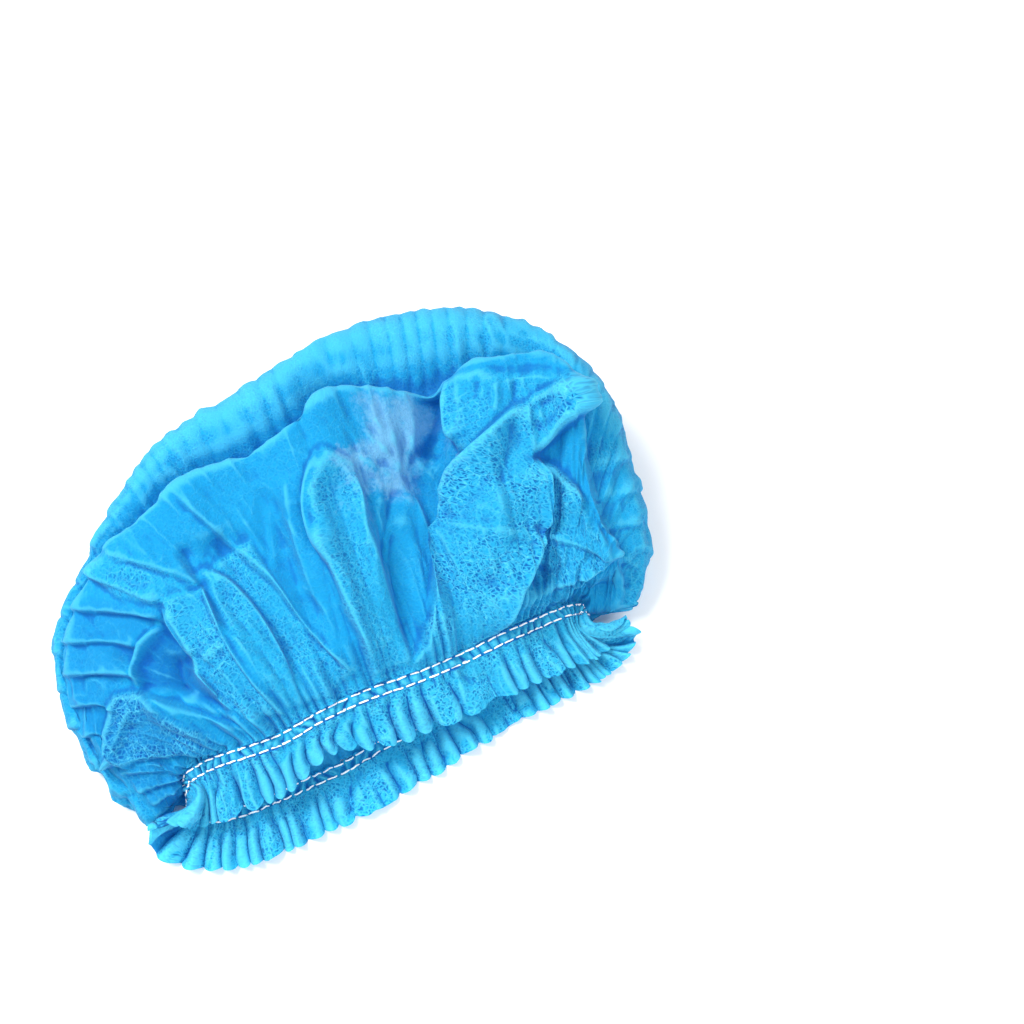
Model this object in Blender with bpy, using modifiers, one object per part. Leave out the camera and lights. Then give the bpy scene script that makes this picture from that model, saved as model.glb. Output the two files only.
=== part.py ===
# Disposable bouffant cap, opened and lying on its lower layer.
# Metres, +Z up. The mouth faces -Y and the crown reaches back along +Y.
# Pieces: crown, elastic_band and frill, in that order across the rim.

from collections import namedtuple

import bmesh
import bpy
import numpy as np

# Driving dimensions.
CROWN_WIDTH = 0.306
CROWN_DEPTH = 0.174
CREST_HEIGHT = 0.088
CROWN_WALL = 0.0010
MOUTH_WIDTH = 0.2115
MOUTH_HEIGHT = 0.033
MOUTH_SHIFT = -0.0098
RIM_BOW = 0.006
RIM_STEP = 0.0185
COLLAR = 0.003
LOWER_RIM_HEIGHT = 0.0035
BAND_WIDTH = 0.0058
BAND_WALL = 0.0016
BAND_RIPPLE = 0.0004
FRILL_WIDTH = 0.0195
FRILL_WALL = 0.0010
FRILL_RUFFLE = 0.0030
SEAM_GAP = 0.0005
PLEAT_COUNT = 40
PLEAT_RISE = 0.0022
FOLD_RISE = 0.017
FOLD_WIDTH = 0.016
FOLD_SHARE_AT_RIM = 0.4
END_ROUNDING = 0.05
RUFFLE_LIMIT = 0.6
UPPER_TILT = 30.0
COLOUR = (0.045, 0.47, 0.90, 1.0)

# One row for each section, from the left end of the mouth to the right end.
# rim: place along the mouth. bow and step: how far the upper and the lower
# rim lie back and forward. lift: height of the upper rim. out_x, out_y: where
# the section meets the outline. The other columns are shares along the
# section, and heights as shares of the crest height. fan: heading of the
# frill's edge in degrees, from straight forward.
Section = namedtuple("Section", "rim bow step lift out_x out_y turn_z crest_u crest_z "
                     "valley_u valley_z halo_u halo_z panel_z fan")
SECTIONS = (
    Section(-0.500, 0.20, 0.20, 0.42, -0.455, -0.034, 0.10, 0.55, 0.23, 0.72, 0.18, 0.86, 0.18, 0.20, -62),
    Section(-0.483, 0.60, 0.65, 0.52, -0.492, 0.145, 0.15, 0.52, 0.35, 0.64, 0.24, 0.86, 0.27, 0.30, -36),
    Section(-0.446, 0.70, 0.87, 0.62, -0.500, 0.337, 0.23, 0.50, 0.43, 0.62, 0.28, 0.84, 0.39, 0.35, -22),
    Section(-0.398, 0.50, 0.97, 0.73, -0.476, 0.494, 0.32, 0.55, 0.52, 0.64, 0.36, 0.84, 0.50, 0.43, -12),
    Section(-0.332, 0.00, 1.00, 0.86, -0.398, 0.640, 0.41, 0.80, 0.64, 0.88, 0.55, 0.93, 0.59, 0.51, -6),
    Section(-0.256, -0.33, 1.00, 0.95, -0.308, 0.775, 0.48, 0.80, 0.82, 0.85, 0.64, 0.93, 0.70, 0.59, -2),
    Section(-0.162, 0.00, 1.00, 1.00, -0.190, 0.900, 0.51, 0.74, 0.93, 0.79, 0.66, 0.92, 0.77, 0.66, 0),
    Section(-0.048, 0.10, 0.97, 1.00, -0.048, 0.945, 0.52, 0.70, 0.97, 0.75, 0.66, 0.91, 0.80, 0.70, 0),
    Section(0.074, -0.17, 0.97, 0.97, 0.097, 1.000, 0.52, 0.73, 1.00, 0.78, 0.66, 0.92, 0.80, 0.70, 0),
    Section(0.188, -0.10, 0.95, 0.91, 0.246, 0.989, 0.51, 0.68, 0.84, 0.74, 0.64, 0.91, 0.77, 0.57, 2),
    Section(0.292, 0.17, 0.92, 0.85, 0.379, 0.899, 0.50, 0.71, 0.98, 0.76, 0.65, 0.90, 0.75, 0.68, 4),
    Section(0.377, 0.33, 0.80, 0.77, 0.472, 0.702, 0.48, 0.78, 0.91, 0.82, 0.64, 0.91, 0.70, 0.64, 8),
    Section(0.434, 0.50, 0.65, 0.68, 0.500, 0.506, 0.43, 0.72, 0.75, 0.78, 0.57, 0.90, 0.61, 0.55, 15),
    Section(0.472, 0.50, 0.50, 0.60, 0.484, 0.287, 0.36, 0.52, 0.64, 0.60, 0.43, 0.84, 0.52, 0.45, 28),
    Section(0.493, 0.33, 0.32, 0.54, 0.452, 0.075, 0.25, 0.55, 0.48, 0.66, 0.31, 0.84, 0.36, 0.34, 44),
    Section(0.500, 0.17, 0.20, 0.48, 0.402, -0.050, 0.11, 0.55, 0.27, 0.70, 0.19, 0.85, 0.20, 0.23, 60),
)

# One row for each station along a section, from the upper rim over the crest
# and the outline, and back under the crown to the lower rim. A station lies
# between two marks, along the section and in height. pleat: share of the pleats.
Station = namedtuple("Station", "along_from along_to along height_from height_to height pleat")
STATIONS = (
    Station("rim", "crest", 0.14, "lift", "panel", 0.40, 0.45),
    Station("rim", "crest", 0.36, "lift", "panel", 0.85, 0.65),
    Station("rim", "crest", 0.65, "panel", "crest", 0.25, 0.60),
    Station("rim", "crest", 0.90, "panel", "crest", 0.85, 0.50),
    Station("rim", "crest", 1.00, "panel", "crest", 1.00, 0.35),
    Station("crest", "valley", 0.35, "crest", "valley", 0.45, 0.40),
    Station("crest", "valley", 1.00, "crest", "valley", 1.00, 0.50),
    Station("valley", "halo", 0.50, "valley", "halo", 0.70, 0.80),
    Station("valley", "halo", 1.00, "valley", "halo", 1.00, 1.00),
    Station("halo", "turn", 0.70, "halo", "turn", 0.35, 0.80),
    Station("halo", "turn", 1.00, "halo", "turn", 1.00, 0.55),
    Station("turn", "floor", 0.15, "turn", "floor", 0.50, 0.50),
    Station("turn", "floor", 0.50, "turn", "floor", 0.86, 0.30),
    Station("turn", "floor", 1.00, "turn", "floor", 1.00, 0.00),
    Station("floor", "under", 0.35, "floor", "floor", 1.00, 0.00),
    Station("floor", "under", 0.70, "floor", "floor", 1.00, 0.00),
    Station("floor", "under", 1.00, "floor", "floor", 1.00, 0.00),
)
FIRST_UNDER = 11
FLOOR_SHARE = 0.88
UNDER_SHARE = 0.08

# Rows across the band and the frill: share of the width, share of the fan.
StripRow = namedtuple("StripRow", "across fan")
BAND_ROWS = (
    StripRow(0.00, 0.00),
    StripRow(1.00, 0.00),
)
FRILL_ROWS = (
    StripRow(0.00, 0.00),
    StripRow(0.12, 0.00),
    StripRow(0.50, 0.70),
    StripRow(1.00, 1.00),
)

# One row for each main fold of the upper layer: three points in plan, from the
# crest side to the rim side, and its rise and width. A rise below 0 is a hollow.
Fold = namedtuple("Fold", "x0 y0 x1 y1 x2 y2 rise width")
FOLDS = (
    Fold(-0.354, 0.669, -0.277, 0.440, -0.200, 0.060, 0.70, 0.70),
    Fold(-0.350, 0.400, -0.325, 0.337, -0.310, 0.270, 0.50, 1.00),
    Fold(-0.383, 0.275, -0.312, 0.180, -0.170, 0.030, 0.60, 0.60),
    Fold(-0.118, 0.624, -0.102, 0.371, -0.083, 0.174, -0.80, 1.10),
    Fold(0.020, 0.660, -0.030, 0.430, -0.070, 0.040, 0.70, 0.80),
    Fold(0.060, 0.600, 0.125, 0.510, 0.150, 0.450, -0.90, 1.20),
    Fold(0.222, 0.685, 0.138, 0.300, 0.044, 0.067, -0.90, 0.80),
    Fold(0.448, 0.489, 0.251, 0.400, 0.092, 0.062, 0.80, 1.00),
    Fold(0.309, 0.365, 0.317, 0.270, 0.259, 0.100, -0.80, 0.70),
    Fold(0.312, 0.371, 0.367, 0.163, 0.324, 0.034, 0.50, 0.70),
)


def clear_scene():
    for item in list(bpy.data.objects):
        bpy.data.objects.remove(item, do_unlink=True)


def through_rows(rows, place):
    """Smooth curve through evenly spaced rows, at places from 0 to the last row."""
    rows = np.asarray(rows, float)
    last = len(rows) - 1
    first = np.clip(np.floor(place).astype(int), 0, last - 1)
    part = (place - first)[:, None]
    before = rows[np.clip(first - 1, 0, last)]
    here = rows[first]
    there = rows[first + 1]
    after = rows[np.clip(first + 2, 0, last)]
    return 0.5 * (2.0 * here + (there - before) * part
                  + (2.0 * before - 5.0 * here + 4.0 * there - after) * part ** 2
                  + (3.0 * here - before - 3.0 * there + after) * part ** 3)


def unit(vectors):
    return vectors / np.maximum(np.linalg.norm(vectors, axis=-1, keepdims=True), 1e-9)


def mix(start, end, share):
    return start + (end - start) * share


def column_places():
    """Places in the section table that are evenly spaced along the outline."""
    fine = np.linspace(0.0, len(SECTIONS) - 1.0, 1500)
    table = through_rows(SECTIONS, fine)
    plan = table[:, 4:6] * (CROWN_WIDTH, CROWN_DEPTH)
    steps = np.linalg.norm(np.diff(plan, axis=0), axis=1)
    length = np.concatenate(([0.0], np.cumsum(steps)))
    wanted = np.linspace(0.0, length[-1], 2 * PLEAT_COUNT + 1)
    return np.interp(wanted, length, fine)


def sections_at(places):
    """The section table's columns at each place, as one named tuple of arrays."""
    return Section(*through_rows(SECTIONS, places).T)


def end_opening(columns):
    """0 on the two folds at the mouth's ends, 1 a little way in from them."""
    share = np.linspace(0.0, 1.0, columns)
    nearest = np.minimum(share, 1.0 - share) / END_ROUNDING
    return np.sqrt(1.0 - (1.0 - np.clip(nearest, 0.0, 1.0)) ** 2)


def rims(sec, opening):
    """Upper rim and lower rim of the crown, and the fold between them."""
    across = MOUTH_SHIFT + sec.rim * MOUTH_WIDTH
    upper = np.stack([across, sec.bow * RIM_BOW, sec.lift * MOUTH_HEIGHT], axis=1)
    lower = np.stack([across, -sec.step * RIM_STEP, np.full_like(across, LOWER_RIM_HEIGHT)], axis=1)
    fold = mix(upper, lower, 0.5)
    return mix(fold, upper, opening[:, None]), mix(fold, lower, opening[:, None]), fold


def ring(upper, lower):
    """One loop round the mouth, from the values of its upper and lower half."""
    return np.concatenate([upper, lower[-2:0:-1]])


def fanned_ways(sec, opening, fan):
    """Directions out of the mouth: flat below, tilted down above, fanned at the ends."""
    heading = np.radians(sec.fan) * fan
    tilt = np.radians(UPPER_TILT) * sec.lift
    ahead = np.stack([np.sin(heading), -np.cos(heading), np.zeros_like(heading)], axis=1)
    down = ahead * np.cos(tilt)[:, None] - np.array([0.0, 0.0, 1.0]) * np.sin(tilt)[:, None]
    wide = opening[:, None]
    return ring(unit(mix(ahead, down, 0.5 + 0.5 * wide)), unit(mix(ahead, down, 0.5 - 0.5 * wide)))


def square_ways(sec, opening):
    """Directions out of the mouth, square to the rim."""
    upper, lower, _ = rims(sec, opening)
    edge = ring(upper, lower)
    tangent = unit(np.roll(edge, -1, axis=0) - np.roll(edge, 1, axis=0))
    way = fanned_ways(sec, opening, 0.0)
    return unit(way - tangent * np.sum(way * tangent, axis=1, keepdims=True))


def fold_height(plan):
    """Rise of the main folds above points in plan."""
    total = np.zeros(plan.shape[:-1])
    for row in FOLDS:
        marks = np.array([[row.x0, row.y0], [row.x1, row.y1], [row.x2, row.y2]])
        marks = marks * (CROWN_WIDTH, CROWN_DEPTH)
        nearest = np.full(plan.shape[:-1], np.inf)
        for start, end in zip(marks[:-1], marks[1:]):
            along = end - start
            share = np.clip(((plan - start) @ along) / (along @ along), 0.0, 1.0)
            gap = plan - start - share[..., None] * along
            nearest = np.minimum(nearest, np.linalg.norm(gap, axis=-1))
        total += row.rise * FOLD_RISE * np.exp(-(nearest / (row.width * FOLD_WIDTH)) ** 2)
    return total


def crown_grid(sec, opening):
    """Middle surface of the crown, columns by rows, with folds and pleats."""
    upper, lower, fold = rims(sec, opening)
    way = square_ways(sec, opening)
    upper_way = way[:len(upper)]
    lower_way = np.concatenate([way[:1], way[:len(upper) - 2:-1]])
    outline = np.stack([sec.out_x * CROWN_WIDTH, sec.out_y * CROWN_DEPTH,
                        sec.turn_z * CREST_HEIGHT], axis=1)
    along = {"rim": 0.0 * sec.rim, "crest": sec.crest_u, "valley": sec.valley_u,
             "halo": sec.halo_u, "turn": 0.0 * sec.rim + 1.0,
             "floor": 0.0 * sec.rim + FLOOR_SHARE, "under": 0.0 * sec.rim + UNDER_SHARE}
    height = {"lift": sec.lift * MOUTH_HEIGHT, "panel": sec.panel_z * CREST_HEIGHT,
              "crest": sec.crest_z * CREST_HEIGHT, "valley": sec.valley_z * CREST_HEIGHT,
              "halo": sec.halo_z * CREST_HEIGHT, "turn": sec.turn_z * CREST_HEIGHT,
              "floor": 0.0 * sec.rim + CROWN_WALL / 2.0}
    rows = []
    last = len(STATIONS) - 1
    for index, station in enumerate(STATIONS):
        share = mix(along[station.along_from], along[station.along_to], station.along)[:, None]
        start = upper if index < FIRST_UNDER else lower
        row = mix(start, outline, share)
        row[:, 2] = mix(height[station.height_from], height[station.height_to], station.height)
        if index < FIRST_UNDER - 2:
            row[:, 2] += fold_height(row[:, :2]) * (1.0 if index else FOLD_SHARE_AT_RIM)
        pair = 1.0 - abs(2.0 * (index + 1) / (last + 2) - 1.0)
        closed = mix(fold, outline, pair)
        rows.append(mix(closed, row, opening[:, None]))
    pleat = np.array([0.0, 0.0] + [station.pleat for station in STATIONS] + [0.0, 0.0])
    rows = [upper, upper - upper_way * COLLAR] + rows + [lower - lower_way * COLLAR, lower]
    grid = np.stack(rows, axis=1)
    normal = unit(np.cross(np.gradient(grid, axis=0), np.gradient(grid, axis=1)))
    side = np.where(np.arange(len(grid)) % 2 == 0, 1.0, -1.0)[:, None]
    rise = side * pleat[None, :] * PLEAT_RISE * opening[:, None]
    return grid + normal * rise[..., None]


def strip_grid(sec, opening, start, width, strip, ruffle):
    """A closed strip round the mouth that waves up and down, from start outward."""
    upper, lower, _ = rims(sec, opening)
    square = square_ways(sec, opening)
    fanned = fanned_ways(sec, opening, 1.0)
    points = ring(upper, lower) + square * start
    side = np.where(np.arange(len(points)) % 2 == 0, 1.0, -1.0)
    rows = []
    reached = 0.0
    for row in strip:
        way = unit(mix(square, fanned, row.fan))
        points = points + way * (row.across - reached) * width
        reached = row.across
        tangent = np.roll(points, -1, axis=0) - np.roll(points, 1, axis=0)
        wave = mix(BAND_RIPPLE, ruffle, row.across)
        rise = np.minimum(wave, RUFFLE_LIMIT * 0.5 * np.linalg.norm(tangent, axis=1))
        rows.append(points + unit(np.cross(way, tangent)) * (side * rise)[:, None])
    return np.stack(rows, axis=1)


def mesh_from_grid(name, points, closed_ring):
    """Faces between the columns of a grid. An open grid is folded shut at its ends."""
    columns, rows = points.shape[:2]
    shape = bmesh.new()
    made = {}

    def vertex(column, row):
        if closed_ring:
            column = column % columns
        elif column in (0, columns - 1):
            row = min(row, rows - 1 - row)
        if (column, row) not in made:
            made[column, row] = shape.verts.new(points[column, row])
        return made[column, row]

    for column in range(columns if closed_ring else columns - 1):
        for row in range(rows - 1):
            corners = [vertex(column, row), vertex(column + 1, row),
                       vertex(column + 1, row + 1), vertex(column, row + 1)]
            shape.faces.new(list(dict.fromkeys(corners)))
    bmesh.ops.recalc_face_normals(shape, faces=shape.faces)
    bmesh.ops.triangulate(shape, faces=shape.faces)
    mesh = bpy.data.meshes.new(name)
    shape.to_mesh(mesh)
    shape.free()
    mesh.shade_smooth()
    return mesh


def cloth_material(name, roughness):
    material = bpy.data.materials.new(name)
    material.use_nodes = True
    shader = material.node_tree.nodes["Principled BSDF"]
    shader.inputs["Base Color"].default_value = COLOUR
    shader.inputs["Roughness"].default_value = roughness
    shader.inputs["Metallic"].default_value = 0.0
    return material


def cloth_object(name, points, closed_ring, wall, roughness, home):
    mesh = mesh_from_grid(name, points, closed_ring)
    mesh.materials.append(cloth_material(name, roughness))
    piece = bpy.data.objects.new(name, mesh)
    home.objects.link(piece)
    solid = piece.modifiers.new("wall", "SOLIDIFY")
    solid.thickness = wall
    solid.offset = 0.0
    solid.use_rim = True
    return piece


def centre_on_floor(pieces):
    """Moves the pieces so that the origin is under the middle of the whole cap."""
    graph = bpy.context.evaluated_depsgraph_get()
    corners = []
    for piece in pieces:
        body = piece.evaluated_get(graph)
        corners.append(np.array([vertex.co[:] for vertex in body.data.vertices]))
    corners = np.concatenate(corners)
    low = corners.min(axis=0)
    high = corners.max(axis=0)
    for piece in pieces:
        piece.location = (-(low[0] + high[0]) / 2.0, -(low[1] + high[1]) / 2.0, -low[2])


def main():
    clear_scene()
    home = bpy.data.collections.new("bouffant_cap")
    bpy.context.scene.collection.children.link(home)
    places = column_places()
    sec = sections_at(places)
    opening = end_opening(len(places))
    crown = crown_grid(sec, opening)
    band = strip_grid(sec, opening, SEAM_GAP, BAND_WIDTH, BAND_ROWS, BAND_RIPPLE)
    frill_start = SEAM_GAP + BAND_WIDTH + SEAM_GAP
    frill = strip_grid(sec, opening, frill_start, FRILL_WIDTH, FRILL_ROWS, FRILL_RUFFLE)
    pieces = [
        cloth_object("crown", crown, False, CROWN_WALL, 0.80, home),
        cloth_object("elastic_band", band, True, BAND_WALL, 0.70, home),
        cloth_object("frill", frill, True, FRILL_WALL, 0.80, home),
    ]
    centre_on_floor(pieces)


main()
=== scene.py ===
import math

import bmesh
import bpy
import numpy as np
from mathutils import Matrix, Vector


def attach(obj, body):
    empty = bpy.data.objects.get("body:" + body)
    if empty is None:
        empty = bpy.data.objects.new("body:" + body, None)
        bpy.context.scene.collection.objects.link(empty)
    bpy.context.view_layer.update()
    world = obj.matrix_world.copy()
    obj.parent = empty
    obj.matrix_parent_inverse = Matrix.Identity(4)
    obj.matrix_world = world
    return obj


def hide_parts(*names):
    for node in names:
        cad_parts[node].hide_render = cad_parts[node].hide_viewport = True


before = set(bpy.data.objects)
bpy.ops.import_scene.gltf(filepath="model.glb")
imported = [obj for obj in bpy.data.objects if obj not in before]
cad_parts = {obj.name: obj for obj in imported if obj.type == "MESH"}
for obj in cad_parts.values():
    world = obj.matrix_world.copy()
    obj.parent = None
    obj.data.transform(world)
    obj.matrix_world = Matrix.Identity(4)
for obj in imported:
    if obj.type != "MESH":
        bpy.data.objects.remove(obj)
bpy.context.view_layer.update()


# shader values that can be added, multiplied and mixed like numbers
class Shade:
    def __init__(self, tree, socket=None):
        self.tree = tree
        self.socket = socket

    def node(self, kind, settings, inputs, output=0):
        made = self.tree.nodes.new(kind)
        for name, value in settings.items():
            setattr(made, name, value)
        for name, value in inputs.items():
            if isinstance(value, Shade):
                self.tree.links.new(value.socket, made.inputs[name])
            else:
                made.inputs[name].default_value = value
        return Shade(self.tree, made.outputs[output]) if made.outputs else None

    def math(self, kind, *values, clamp=False):
        return self.node("ShaderNodeMath", {"operation": kind, "use_clamp": clamp}, dict(enumerate(values)))

    def __add__(self, other):
        return self.math("ADD", self, other)

    def __radd__(self, other):
        return self.math("ADD", other, self)

    def __sub__(self, other):
        return self.math("SUBTRACT", self, other)

    def __rsub__(self, other):
        return self.math("SUBTRACT", other, self)

    def __mul__(self, other):
        return self.math("MULTIPLY", self, other)

    def __rmul__(self, other):
        return self.math("MULTIPLY", other, self)

    def ramp(self, low, high, start=0.0, end=1.0):
        sockets = {"Value": self, "From Min": low, "From Max": high, "To Min": start, "To Max": end}
        return self.node("ShaderNodeMapRange", {"interpolation_type": "SMOOTHSTEP"}, sockets)

    def mixColour(self, first, second):
        settings = {"data_type": "RGBA", "blend_type": "MIX"}
        return self.node("ShaderNodeMix", settings, {0: self, 6: first, 7: second}, 2)


# numbers and curves
def unit(vectors):
    return vectors / np.maximum(np.linalg.norm(vectors, axis=-1, keepdims=True), 1e-9)


def mix(start, end, share):
    return start + (end - start) * share


def smooth(low, high, value):
    share = np.clip((value - low) / (high - low), 0.0, 1.0)
    return share * share * (3.0 - 2.0 * share)


def throughRows(rows, place):  # smooth curve through evenly spaced rows
    rows = np.asarray(rows, float)
    last = len(rows) - 1
    first = np.clip(np.floor(place).astype(int), 0, last - 1)
    part = (place - first).reshape((-1,) + (1,) * (rows.ndim - 1))
    before = rows[np.clip(first - 1, 0, last)]
    here = rows[first]
    there = rows[first + 1]
    after = rows[np.clip(first + 2, 0, last)]
    return 0.5 * (2.0 * here + (there - before) * part
                  + (2.0 * before - 5.0 * here + 4.0 * there - after) * part ** 2
                  + (3.0 * here - before - 3.0 * there + after) * part ** 3)


def noise(x, y, seed):  # smooth values from about -1 to 1, the same on every run
    table = np.random.default_rng(seed).uniform(-1.0, 1.0, (97, 89))
    column = np.floor(x).astype(int)
    row = np.floor(y).astype(int)
    a = x - column
    b = y - row
    a = a * a * a * (a * (a * 6.0 - 15.0) + 10.0)
    b = b * b * b * (b * (b * 6.0 - 15.0) + 10.0)
    near = mix(table[column % 97, row % 89], table[(column + 1) % 97, row % 89], a)
    far = mix(table[column % 97, (row + 1) % 89], table[(column + 1) % 97, (row + 1) % 89], a)
    return mix(near, far, b)


def creases(x, y, seed):  # sharp ridges between smooth hollows, from -1 to 1
    return 1.0 - 2.4 * np.abs(noise(x, y, seed)) - 0.25 * np.abs(noise(2.1 * x + 7.0, 2.1 * y, seed + 1))


def soften(values, times):  # blurs a grid a little, to keep folds free of steps
    for _ in range(times):
        for axis in (0, 1):
            count = values.shape[axis]
            before = np.take(values, [0, *range(count - 1)], axis)
            after = np.take(values, [*range(1, count), count - 1], axis)
            values = 0.25 * before + 0.5 * values + 0.25 * after
    return values


# how often the form is blurred to find its creases, and the depth in metres of a full crease at that scale
ringCreases = ((2, 0.00016), (9, 0.00075), (26, 0.0017))
crownCreases = ((2, 0.00018), (7, 0.00085))
ringOverlap = 30


def creaseDepth(grid, closedRing):  # from -1 on sharp ridges to 1 in sharp valleys
    normal = unit(np.cross(np.gradient(grid, axis=0), np.gradient(grid, axis=1)))
    total = np.zeros(grid.shape[:2])
    for times, size in ringCreases if closedRing else crownCreases:
        around = grid
        if closedRing:
            around = np.concatenate([grid[-ringOverlap:], grid, grid[:ringOverlap]])
        around = soften(around, times)
        if closedRing:
            around = around[ringOverlap:-ringOverlap]
        total += np.tanh(np.sum((around - grid) * normal, axis=-1) / size)
    return total / 2.0


def pleatWave(phase, lean=0.5):  # rounded tops and narrow valleys, from -1 to 1
    part = phase - np.floor(phase)
    up = np.sin(0.5 * math.pi * np.clip(part / lean, 0.0, 1.0))
    down = np.cos(0.5 * math.pi * np.clip((part - lean) / (1.0 - lean), 0.0, 1.0))
    return 2.0 * np.where(part < lean, up, down) - 1.0


# the form of the cap, as in the solids, with the crest and the lower rim nearer to the photograph at the ends
form = {
    "width": 0.306,
    "depth": 0.174,
    "crest": 0.088,
    "mouthWidth": 0.2115,
    "mouthHeight": 0.033,
    "mouthShift": -0.0098,
    "rimBow": 0.006,
    "rimStep": 0.0185,
    "collar": 0.003,
    "lowerRim": 0.0035,
    "endRounding": 0.05,
    "upperTilt": 30.0,
    "floorShare": 0.88,
    "underShare": 0.08,
    "underHeight": 0.0006,
    "home": (0.000092, -0.065793, 0.0),
    "clothWidth": 0.53,
    "clothDepth": 0.33,
}

# sections from the left end of the mouth to the right one, in shares of the sizes above, with the fan in degrees
sectionNames = ("rim", "bow", "step", "lift", "outX", "outY", "turnZ", "crestU", "crestZ",
                "valleyU", "valleyZ", "haloU", "haloZ", "panelZ", "fan")
sections = (
    (-0.500, 0.20, 0.20, 0.42, -0.446, -0.078, 0.10, 0.55, 0.23, 0.72, 0.18, 0.86, 0.18, 0.20, -100),
    (-0.483, 0.60, 0.65, 0.52, -0.492, 0.145, 0.15, 0.78, 0.31, 0.85, 0.24, 0.93, 0.24, 0.31, -48),
    (-0.446, 0.70, 0.87, 0.62, -0.500, 0.337, 0.23, 0.84, 0.41, 0.89, 0.32, 0.95, 0.33, 0.38, -22),
    (-0.398, 0.50, 0.97, 0.73, -0.476, 0.494, 0.32, 0.86, 0.50, 0.90, 0.42, 0.95, 0.42, 0.45, -12),
    (-0.332, 0.00, 1.00, 0.86, -0.398, 0.640, 0.41, 0.89, 0.62, 0.92, 0.53, 0.96, 0.53, 0.51, -6),
    (-0.256, -0.33, 1.00, 0.95, -0.308, 0.775, 0.48, 0.80, 0.82, 0.85, 0.64, 0.93, 0.70, 0.59, -2),
    (-0.162, 0.00, 1.00, 1.00, -0.190, 0.900, 0.51, 0.74, 0.93, 0.79, 0.66, 0.92, 0.77, 0.66, 0),
    (-0.048, 0.10, 0.85, 1.00, -0.048, 0.945, 0.52, 0.70, 0.97, 0.75, 0.66, 0.91, 0.80, 0.70, 0),
    (0.074, -0.17, 0.65, 0.97, 0.097, 1.000, 0.52, 0.73, 1.00, 0.78, 0.66, 0.92, 0.80, 0.70, 0),
    (0.188, -0.10, 0.48, 0.91, 0.246, 0.989, 0.51, 0.68, 0.84, 0.74, 0.64, 0.91, 0.77, 0.57, 2),
    (0.292, 0.17, 0.38, 0.85, 0.379, 0.899, 0.50, 0.71, 0.98, 0.76, 0.65, 0.90, 0.75, 0.68, 4),
    (0.377, 0.33, 0.32, 0.77, 0.472, 0.702, 0.48, 0.78, 0.91, 0.82, 0.64, 0.91, 0.70, 0.64, 8),
    (0.434, 0.50, 0.30, 0.68, 0.500, 0.506, 0.43, 0.52, 0.68, 0.59, 0.59, 0.88, 0.62, 0.55, 15),
    (0.472, 0.50, 0.28, 0.60, 0.484, 0.287, 0.36, 0.44, 0.60, 0.51, 0.48, 0.84, 0.52, 0.45, 28),
    (0.493, 0.33, 0.25, 0.54, 0.452, 0.075, 0.25, 0.52, 0.48, 0.60, 0.36, 0.84, 0.36, 0.34, 76),
    (0.500, 0.17, 0.20, 0.48, 0.396, -0.066, 0.11, 0.55, 0.27, 0.70, 0.19, 0.85, 0.20, 0.23, 108),
)

# along from, along to, share; height from, height to, share
stations = (
    ("rim", "crest", 0.14, "lift", "panel", 0.40),
    ("rim", "crest", 0.36, "lift", "panel", 0.85),
    ("rim", "crest", 0.65, "panel", "crest", 0.25),
    ("rim", "crest", 0.90, "panel", "crest", 0.85),
    ("rim", "crest", 1.00, "panel", "crest", 1.00),
    ("crest", "valley", 0.35, "crest", "valley", 0.45),
    ("crest", "valley", 1.00, "crest", "valley", 1.00),
    ("valley", "halo", 0.50, "valley", "halo", 0.70),
    ("valley", "halo", 1.00, "valley", "halo", 1.00),
    ("halo", "turn", 0.70, "halo", "turn", 0.35),
    ("halo", "turn", 1.00, "halo", "turn", 1.00),
    ("turn", "floor", 0.15, "turn", "floor", 0.50),
    ("turn", "floor", 0.50, "turn", "floor", 0.86),
    ("turn", "floor", 1.00, "turn", "floor", 1.00),
    ("floor", "under", 0.35, "floor", "floor", 1.00),
    ("floor", "under", 0.70, "floor", "floor", 1.00),
    ("floor", "under", 1.00, "floor", "floor", 1.00),
)
firstUnder = 11   # the stations from here on reach out from the lower rim

# where these lie among the 21 rows of the crown, which has two rows at the rim before the stations
crestRow = 6.0
shoulderRow = 11.0  # just above the outline's widest turn
floorRow = 15

# the largest folds of the solids: three points in plan, rise and width
largeFolds = (
    (-0.354, 0.669, -0.277, 0.440, -0.200, 0.060, 0.70, 0.70),
    (-0.350, 0.400, -0.325, 0.337, -0.310, 0.270, 0.50, 1.00),
    (-0.383, 0.275, -0.312, 0.180, -0.170, 0.030, 0.60, 0.60),
    (-0.118, 0.624, -0.102, 0.371, -0.083, 0.174, -0.80, 1.10),
    (0.020, 0.660, -0.030, 0.430, -0.070, 0.040, 0.70, 0.80),
    (0.060, 0.600, 0.125, 0.510, 0.150, 0.450, -0.90, 1.20),
    (0.222, 0.685, 0.138, 0.300, 0.044, 0.067, -0.90, 0.80),
    (0.448, 0.489, 0.251, 0.400, 0.092, 0.062, 0.80, 1.00),
    (0.309, 0.365, 0.317, 0.270, 0.259, 0.100, -0.80, 0.70),
    (0.312, 0.371, 0.367, 0.163, 0.324, 0.034, 0.50, 0.70),
)
largeFoldRise = 0.017
largeFoldWidth = 0.016
largeFoldShare = 0.4  # the finer folds below bring the rest


def columnSections(columns):  # the section table at columns evenly spaced along the outline
    fine = np.linspace(0.0, len(sections) - 1.0, 1500)
    plan = throughRows(sections, fine)[:, 4:6] * (form["width"], form["depth"])
    length = np.concatenate(([0.0], np.cumsum(np.linalg.norm(np.diff(plan, axis=0), axis=1))))
    print("outline length", round(float(length[-1]), 4))
    places = np.interp(np.linspace(0.0, length[-1], columns), length, fine)
    return dict(zip(sectionNames, throughRows(sections, places).T))


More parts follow.
